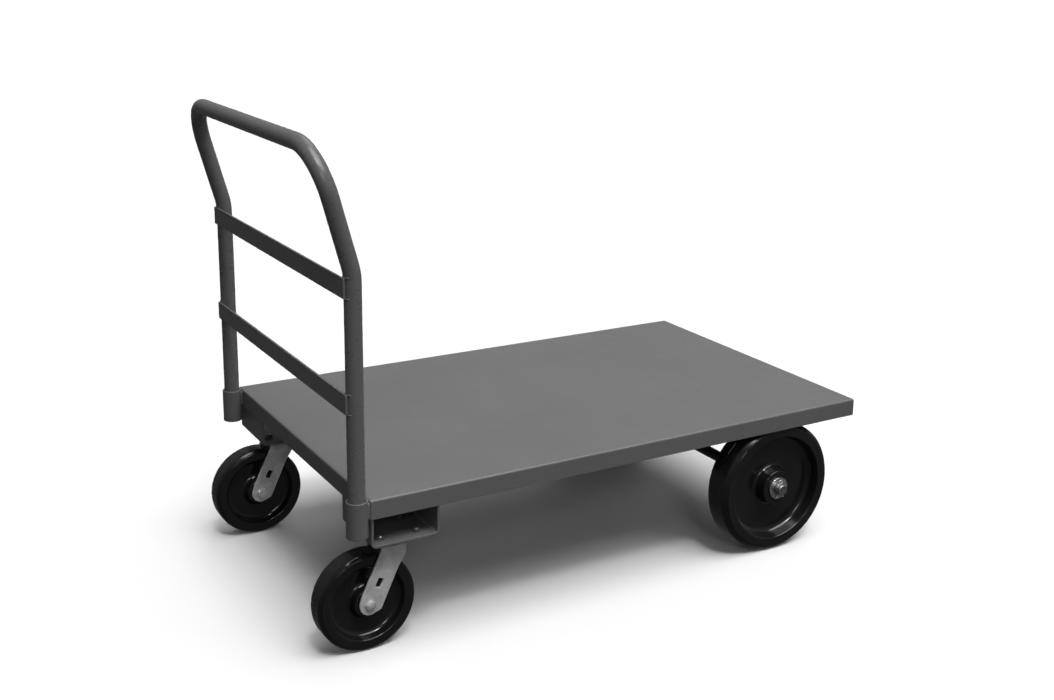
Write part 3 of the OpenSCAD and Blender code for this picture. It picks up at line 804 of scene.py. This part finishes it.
def caster_plate_bolts(node, side, material):
    """Four bolts from below, each tightened to another angle."""
    low, high = span(node)
    bm = started()
    bottom = span("caster_plate_left")[1].z - PLATE_SHEET
    for x, y, place in plate_bolt_places(side):
        hexagon(bm, PLATE_HEX, low.z, bottom, spun(place, 17 * x + 31 * y + 7 * side), (True, False))
        thread(bm, PLATE_BOLT_R, bottom - 0.5, high.z, place)
    finished(bm, node, material)


def caster_plate_nuts(node, side, material):
    """Four nuts, each tightened to another angle."""
    low, high = span(node)
    bm = started()
    for x, y, place in plate_bolt_places(side):
        turned_place = spun(place, 23 * x - 11 * y + 5 * side)
        hexagon(bm, PLATE_HEX, low.z, high.z, turned_place, bore=PLATE_BOLT_R)
    finished(bm, node, material)


def caster_kingpin(node, side, material):
    """Kingpin whose head is riveted over to a low dome."""
    low, high = span(node)
    pin = kingpin(side)
    head_top, dome_high, tiny = low.z + 6, 2.6, 0.3
    profile = fillet([((tiny, low.z), 0), ((8, low.z + tiny), 3),
                      ((PIN_HEAD_R - 0.4, low.z + dome_high), 2.0), ((PIN_HEAD_R, head_top), 0.5),
                      ((PIN_R, head_top), 0), ((PIN_R, high.z), 0.6), ((tiny, high.z), 0)],
                     closed=False, step=15)
    bm = started()
    turned(bm, profile, Matrix.Translation((pin.x, pin.y, 0)), 48, ends="cap")
    finished(bm, node, material)


def fork_pattern(axle, fold_z, flat_edge):
    """The fork before it is folded: one outline across crown and both legs, then its holes.
    The first coordinate is X from the kingpin, the second runs from the crown's middle down each leg."""
    along = Vector((math.sin(FORK_SLOPE), math.cos(FORK_SLOPE)))
    across = Vector((math.cos(FORK_SLOPE), -math.sin(FORK_SLOPE)))

    def spot(up, out):
        """Point of a leg, measured up from the axle and out from the leg's middle line."""
        return axle + along * up + across * out

    def down(p):
        """A point of the folded leg as it lies in the flat sheet."""
        return (p[0], flat_edge + fold_z - p[1])

    def mirrored(corners):
        return [((x, -s), r) for (x, s), r in reversed(corners)]

    first, last, steps = math.radians(-80.8), math.radians(-200.3), 22
    tip = [(axle + FORK_END_R * Vector((math.cos(t), math.sin(t))), 0)
           for t in [first + (last - first) * k / steps for k in range(steps + 1)]]
    inner_edge = [((18, fold_z), 0), ((18, fold_z - 14.5), 14), (spot(88, 25), 60), (spot(-2, 27), 9)]
    outer_edge = [(spot(12, -23), 14), (spot(88, -23), 40), ((-32, fold_z), 10)]
    leg = [(down(p), r) for p, r in inner_edge + tip + outer_edge]
    crown_back = [((-35, 24), 8), ((-41.5, 9), 14)]
    crown_front = [((41.5, 9), 14), ((32, 24), 5), ((18, 26), 2.5)]
    outline = fillet(leg + crown_back + mirrored(crown_back)
                     + mirrored(leg) + mirrored(crown_front) + crown_front, step=10)
    slot = [axle + along * SLOT_UP + along * a * SLOT_HALF[0] + across * b * SLOT_HALF[1]
            for a, b in ((1, 1), (1, -1), (-1, -1), (-1, 1))]
    rounded = fillet([(down(p), SLOT_CORNER) for p in slot], step=20)
    holes = [round_hole(0, 0, PIN_R + 0.3)]
    for flip in (1, -1):
        holes.append([Vector((x, flip * s)) for x, s in rounded])
        holes.append(round_hole(down(axle)[0], flip * down(axle)[1], AXLE_BOLT_R + 0.15, 32))
    return [outline] + holes


def counter_clockwise(loop):
    area = sum(a.x * b.y - b.x * a.y for a, b in zip(loop, loop[1:] + loop[:1]))
    return loop if area > 0 else loop[::-1]


def caster_fork(node, side, material):
    """Crown and two legs as one sheet, folded over two rounded bends."""
    low, high = span(node)
    pin, axle = kingpin(side), caster_axle(side)
    crown_half = (high.y - low.y) / 2 - FORK_BEND
    fold_z = high.z - FORK_BEND
    mid_r = FORK_BEND - FORK_SHEET / 2
    arc = mid_r * math.pi / 2
    loops = fork_pattern(Vector((axle.x - pin.x, axle.z)), fold_z, crown_half + arc)
    loops = [counter_clockwise(loops[0])] + [counter_clockwise(loop)[::-1] for loop in loops[1:]]
    bm = started()
    slab(bm, loops, -FORK_SHEET / 2, FORK_SHEET / 2, 0.8, margin=1.0)
    cuts = 10                           # across each bend, so that the flat sheet can be folded
    for k in range(cuts + 1):
        for flip in (-1, 1):
            level = flip * (crown_half + arc * k / cuts)
            bmesh.ops.bisect_plane(bm, geom=bm.verts[:] + bm.edges[:] + bm.faces[:], dist=1e-4,
                                   plane_co=(0, level, 0), plane_no=(0, 1, 0))
    for v in bm.verts:
        x, s, h = v.co
        past, flip = abs(s) - crown_half, 1 if s > 0 else -1
        turn = min(max(past, 0.0) / mid_r, math.pi / 2)
        y = min(abs(s), crown_half) + (mid_r + h) * math.sin(turn)
        z = fold_z + (mid_r + h) * math.cos(turn) - max(0.0, past - arc)
        v.co = (pin.x + x, pin.y + flip * y, z)
    finished(bm, node, material)


def caster_axle_bolt(node, side, material):
    """Hexagon head with a washer face, plain shank, and a threaded end that stands out of the nut."""
    low, high = span(node)
    axle = caster_axle(side)
    place = to_near_side(axle)
    head, collar_r, collar, tiny = 8, 9.1, 0.7, 0.5
    face = axle.y - low.y - head
    bm = started()
    hexagon(bm, AXLE_HEX, face + tiny, face + head, place @ Matrix.Rotation(0.3, 4, "Z"),
            (False, True), face=0.4)
    washer_face = [(tiny, face), (collar_r, face), (collar_r, face + collar), (tiny, face + collar)]
    turned(bm, washer_face, place, 48)
    turned(bm, [(AXLE_BOLT_R, -face - 1), (AXLE_BOLT_R, face + 0.4)], place, 40, ends="cap")
    back = place @ Matrix.Rotation(math.pi, 4, "X")
    thread(bm, AXLE_BOLT_R, face - 1, high.y - axle.y, back, 1.9, 0.6)
    finished(bm, node, material)


def caster_axle_nut(node, side, material):
    axle = caster_axle(side)
    low, high = span(node)
    place = frame_at((axle.x, 0, axle.z), *ALONG_Y)
    bm = started()
    hexagon(bm, AXLE_HEX, low.y, high.y, place @ Matrix.Rotation(0.8, 4, "Z"), (False, True), AXLE_BOLT_R)
    finished(bm, node, material)


def washer_pair(node, axle, thick, bore, edge):
    """Mesh of the two washers at the ends of a node's box, round an axle."""
    low, high = span(node)
    place = frame_at((axle.x, 0, axle.z), *ALONG_Y)
    r = (high.x - low.x) / 2
    bm = started()
    for a, b in ((low.y, low.y + thick), (high.y - thick, high.y)):
        profile = fillet([((bore, a), edge), ((r, a), edge), ((r, b), edge), ((bore, b), edge)], step=30)
        turned(bm, profile, place, 64)
    return bm


def caster_washers(node, side, material):
    """Thrust washers that fill the gap between the wheel and the fork's legs."""
    low, high = span(node)
    wheel, slack = span("caster_wheel_left"), 0.3
    thick = (high.y - low.y) / 2 - (wheel[1].y - wheel[0].y) / 2 - slack
    finished(washer_pair(node, caster_axle(side), thick, 9.6, 0.5), node, material)


# ---- wheels ----
def wheel_side(tread, half, shoulder, rim_in, web_out, web, hub_base, foot, hub_face, hub_half, bore):
    """Half profile of a moulded wheel from the hub's bore to the middle of the tread, (radius, out) points.
    The tread's half width is half. A seam runs round each side, just inside the tread."""
    seam, seam_deep, flash = tread - shoulder * 0.85, 2.6, 0.3
    return fillet([((bore, 0), 0), ((bore, hub_half), 0.8), ((hub_face, hub_half), 2.4),
                   ((hub_base, web), foot), ((web_out, web), 13.0), ((rim_in, half), 3.0),
                   ((seam - 1.0, half), 2.2), ((seam, half - seam_deep), 0.4),
                   ((seam + 1.2, half - 1.2), 0.6), ((tread - flash, half - shoulder * 0.9), 9),
                   ((tread - 0.25, 0.55), 0), ((tread, 0.35), 0), ((tread, 0), 0)],
                  closed=False, step=7.5)


def moulded_wheel(node, sizes, material):
    """Tread with rounded shoulders and a fine seam, dished sides, thin web and plain hub."""
    low, high = span(node)
    mid = (low + high) / 2
    top = wheel_side((high.x - low.x) / 2, (high.y - low.y) / 2, **sizes)
    bottom = [(r, -y) for r, y in reversed(top[:-1])]
    tread, dusty, fade = top[-1][0], 3.5, 3
    bm = started()
    turned(bm, top + bottom[:-1], frame_at(mid, *ALONG_Y), 160,
           worn=lambda r, y: max(0.0, min(1.0, (r - tread + dusty) / fade)))
    finished(bm, node, material)


def rear_axle(material):
    """Bar with chamfered ends, bare of paint past the wheels."""
    low, high = span("rear_axle")
    half, bare = (high.y - low.y) / 2, 15
    bm = started()
    profile = [(0.4, -half), (AXLE_R - 2.0, -half), (AXLE_R - 1.5, -half + 0.1), (AXLE_R, -half + 1.6)]
    profile += [(AXLE_R, y) for y in (-half + 14, -half + 24, -100, 100, half - 24, half - 14)]
    profile += [(r, -y) for r, y in reversed(profile[:4])]
    turned(bm, profile, frame_at((low + high) / 2, *ALONG_Y), 64, ends="cap",
           worn=lambda r, y: 1.0 if abs(y) > half - bare else 0.0)
    finished(bm, "rear_axle", material)


def rear_washers(node, material):
    finished(washer_pair(node, middle("rear_axle"), 4.0, AXLE_R + 0.15, 0.7), node, material)


def rear_cotter(node, material):
    """Split pin: one wire bent into an eye above the axle, its two legs spread below."""
    axle = middle("rear_axle")
    y, reach = middle(node).y, AXLE_R + 0.6
    gap, leg, spread = COTTER_WIRE * 0.9, 12.0, math.radians(55)
    eye_r, eye_from, eye_turn, eye_steps = 4.5, -62, 304, 24
    eye_z = axle.z + reach + eye_r - 1
    foot = Vector((math.sin(spread), 0, -math.cos(spread))) * leg
    legs = []
    for flank in (1, -1):
        start = Vector((axle.x + flank * gap, y, axle.z - reach))
        legs.append([start + Vector((flank * foot.x, 0, foot.z)), start,
                     Vector((start.x, y, axle.z + reach - 1.5))])
    turns = [math.radians(eye_from + eye_turn * k / eye_steps) for k in range(eye_steps + 1)]
    eye = [Vector((axle.x + eye_r * math.cos(t), y, eye_z + eye_r * math.sin(t))) for t in turns]
    line = legs[0] + eye + legs[1][::-1]
    bends = (1, 2, len(line) - 3, len(line) - 2)
    smooth = fillet([(p, 2.0 if i in bends else 0) for i, p in enumerate(line)], closed=False, step=15)
    bm = started()
    sweep(bm, smooth, COTTER_WIRE, sides=14)
    finished(bm, node, material, sharp=60, even=False)


# ---- setting ----
SETTING_REACH = 60.0                    # metres from the middle to the floor's edge
# light of the air along an axis: between which two values it changes, and its strength at each
AIR = {"X": (-0.9, 0.8, 0.145, 0.27), "Z": (-0.25, 0.35, 0.42, 1.0)}
# direction towards each lamp, its strength, and its width in degrees
SUNS = {
    "soft_key": ((0.16, -0.3, 0.93), 3.15, 50),
    "glint": ((-0.1, -0.45, 0.88), 0.7, 9),
    "front_fill": ((-0.3, -0.8, 0.48), 0.3, 12),
    "back_fill": ((0.45, 0.5, 0.8), 0.35, 30),
}
CAMERA_AT = (-1.4915, -2.569, 1.3575)
YAW, PITCH, ROLL = 0.5577, 0.2408, 0.0201
LENS, SENSOR_WIDTH = 46.137, 36.0
SHIFT_X, SHIFT_Y = -0.0417, -0.0731


def staged(bm, name, material):
    """Part of the setting, which is neither mirrored in the cart nor lights it."""
    made = shown(name, mesh_of(bm, name, material))
    made.visible_diffuse = made.visible_glossy = False
    return made


def floor(material):
    bm = bmesh.new()
    bmesh.ops.create_grid(bm, x_segments=8, y_segments=8, size=SETTING_REACH)
    staged(bm, "studio_floor", material)


def backdrop():
    """Plain white surround that only the camera sees, so that it adds no light to the cart."""
    s = Shader("plain_white", Emission_Strength=1.02, Roughness=1.0)
    s.surface.inputs["Base Color"].default_value = (0, 0, 0, 1)
    s.put(s.mix(s.spread(s.noise(0.05, 1), 0.2, 0.8), grey(0.985), grey(1.0)), "Emission Color")
    bm = bmesh.new()
    bmesh.ops.create_icosphere(bm, subdivisions=4, radius=SETTING_REACH - 2.0)
    staged(bm, "studio_backdrop", s.material).visible_shadow = False


def sun(name, direction, strength, width):
    """Lamp that shines from a direction, as wide as the given angle in degrees."""
    lamp = bpy.data.lights.new(name, "SUN")
    lamp.energy = strength
    lamp.angle = math.radians(width)
    shown(name, lamp).rotation_euler = Vector(direction).to_track_quat("Z", "Y").to_euler()


def studio_air():
    """Soft light from all round, weaker from the handle's side of the cart and from below."""
    world = bpy.data.worlds.new("studio_air")
    bpy.context.scene.world = world
    world.use_nodes = True
    tree = world.node_tree
    tree.nodes.clear()
    out, back = tree.nodes.new("ShaderNodeOutputWorld"), tree.nodes.new("ShaderNodeBackground")
    where, part = tree.nodes.new("ShaderNodeTexCoord"), tree.nodes.new("ShaderNodeSeparateXYZ")
    tree.links.new(where.outputs["Generated"], part.inputs[0])
    both = tree.nodes.new("ShaderNodeMath")
    both.operation = "MULTIPLY"
    for i, (axis, values) in enumerate(AIR.items()):
        ramp = tree.nodes.new("ShaderNodeMapRange")
        tree.links.new(part.outputs[axis], ramp.inputs["Value"])
        for k, value in enumerate(values, 1):
            ramp.inputs[k].default_value = value
        tree.links.new(ramp.outputs[0], both.inputs[i])
    tree.links.new(both.outputs[0], back.inputs["Strength"])
    back.inputs["Color"].default_value = (1, 1, 1, 1)
    tree.links.new(back.outputs[0], out.inputs[0])


def camera():
    """Camera at the photograph's viewing angle."""
    ahead = Vector((math.sin(YAW) * math.cos(PITCH), math.cos(YAW) * math.cos(PITCH), -math.sin(PITCH)))
    level = Vector((math.cos(YAW), -math.sin(YAW), 0))
    up = level.cross(ahead)
    across = level * math.cos(ROLL) + up * math.sin(ROLL)
    lens = bpy.data.cameras.new("photo_view")
    lens.sensor_width, lens.sensor_fit = SENSOR_WIDTH, "HORIZONTAL"
    lens.lens, lens.shift_x, lens.shift_y = LENS, SHIFT_X, SHIFT_Y
    lens.clip_end = 5 * SETTING_REACH
    made = shown("photo_view", lens)
    made.matrix_world = frame_at(CAMERA_AT, across, up * math.cos(ROLL) - level * math.sin(ROLL), -ahead)
    bpy.context.scene.camera = made


def build():
    paint = {name: enamel(name, *values) for name, values in ENAMELS.items()}
    zinc = {name: plated(name, *values) for name, values in PLATINGS.items()}
    bearing, black = bearing_metal(), moulded_black()
    deck_pan(paint["deck_enamel"])
    for node in ("deck_rib_front", "deck_rib_rear"):
        deck_rib(node, paint["frame_enamel"])
    handle_tube(paint["handle_enamel"])
    for node in ("handle_bar_upper", "handle_bar_lower"):
        handle_bar(node, paint["handle_enamel"])
    for side, end in NAME_END.items():
        socket("socket" + end, side, paint["frame_enamel"])
        caster_channel("caster_channel" + end, paint["frame_enamel"])
        axle_hanger("axle_hanger" + end, side, paint["frame_enamel"])
        # the plate and race take the darker zinc, painted shade under the channel
        caster_plate("caster_plate" + end, side, zinc["race_zinc_painted_shade"])
        caster_plate_bolts("caster_plate_bolts" + end, side, zinc["stud_zinc"])
        caster_plate_nuts("caster_plate_nuts" + end, side, zinc["dull_zinc"])
        caster_kingpin("caster_kingpin" + end, side, zinc["zinc_plate"])
        caster_fork("caster_fork" + end, side, zinc["zinc_plate"])
        # the head's bright zinc is partly its plating and partly a painted glint
        caster_axle_bolt("caster_axle_bolt" + end, side, zinc["head_zinc_with_painted_glint"])
        caster_axle_nut("caster_axle_nut" + end, side, zinc["bright_zinc"])
        caster_washers("caster_washers" + end, side, zinc["bright_zinc"])
        moulded_wheel("caster_wheel" + end, CASTER_WHEEL, black)
        moulded_wheel("rear_wheel" + end, REAR_WHEEL, black)
        rear_washers("rear_washers" + end, zinc["bright_zinc"])
        rear_cotter("rear_cotter" + end, zinc["pin_wire"])
        for node in ("caster_balls", "caster_bearing", "rear_bearing"):
            paint_node(node + end, bearing)
        paint_node("caster_spanner" + end, zinc["bright_zinc"])
    rear_axle(axle_finish())


def paint_node(node, material):
    """Gives a CAD node that keeps its shape its material."""
    kept = frame["nodes"][node]
    kept.data.materials.clear()
    kept.data.materials.append(material)


build()
floor(pale_floor())
backdrop()
studio_air()
for name, values in SUNS.items():
    sun(name, *values)
camera()
bpy.context.scene.view_settings.view_transform = "Standard"
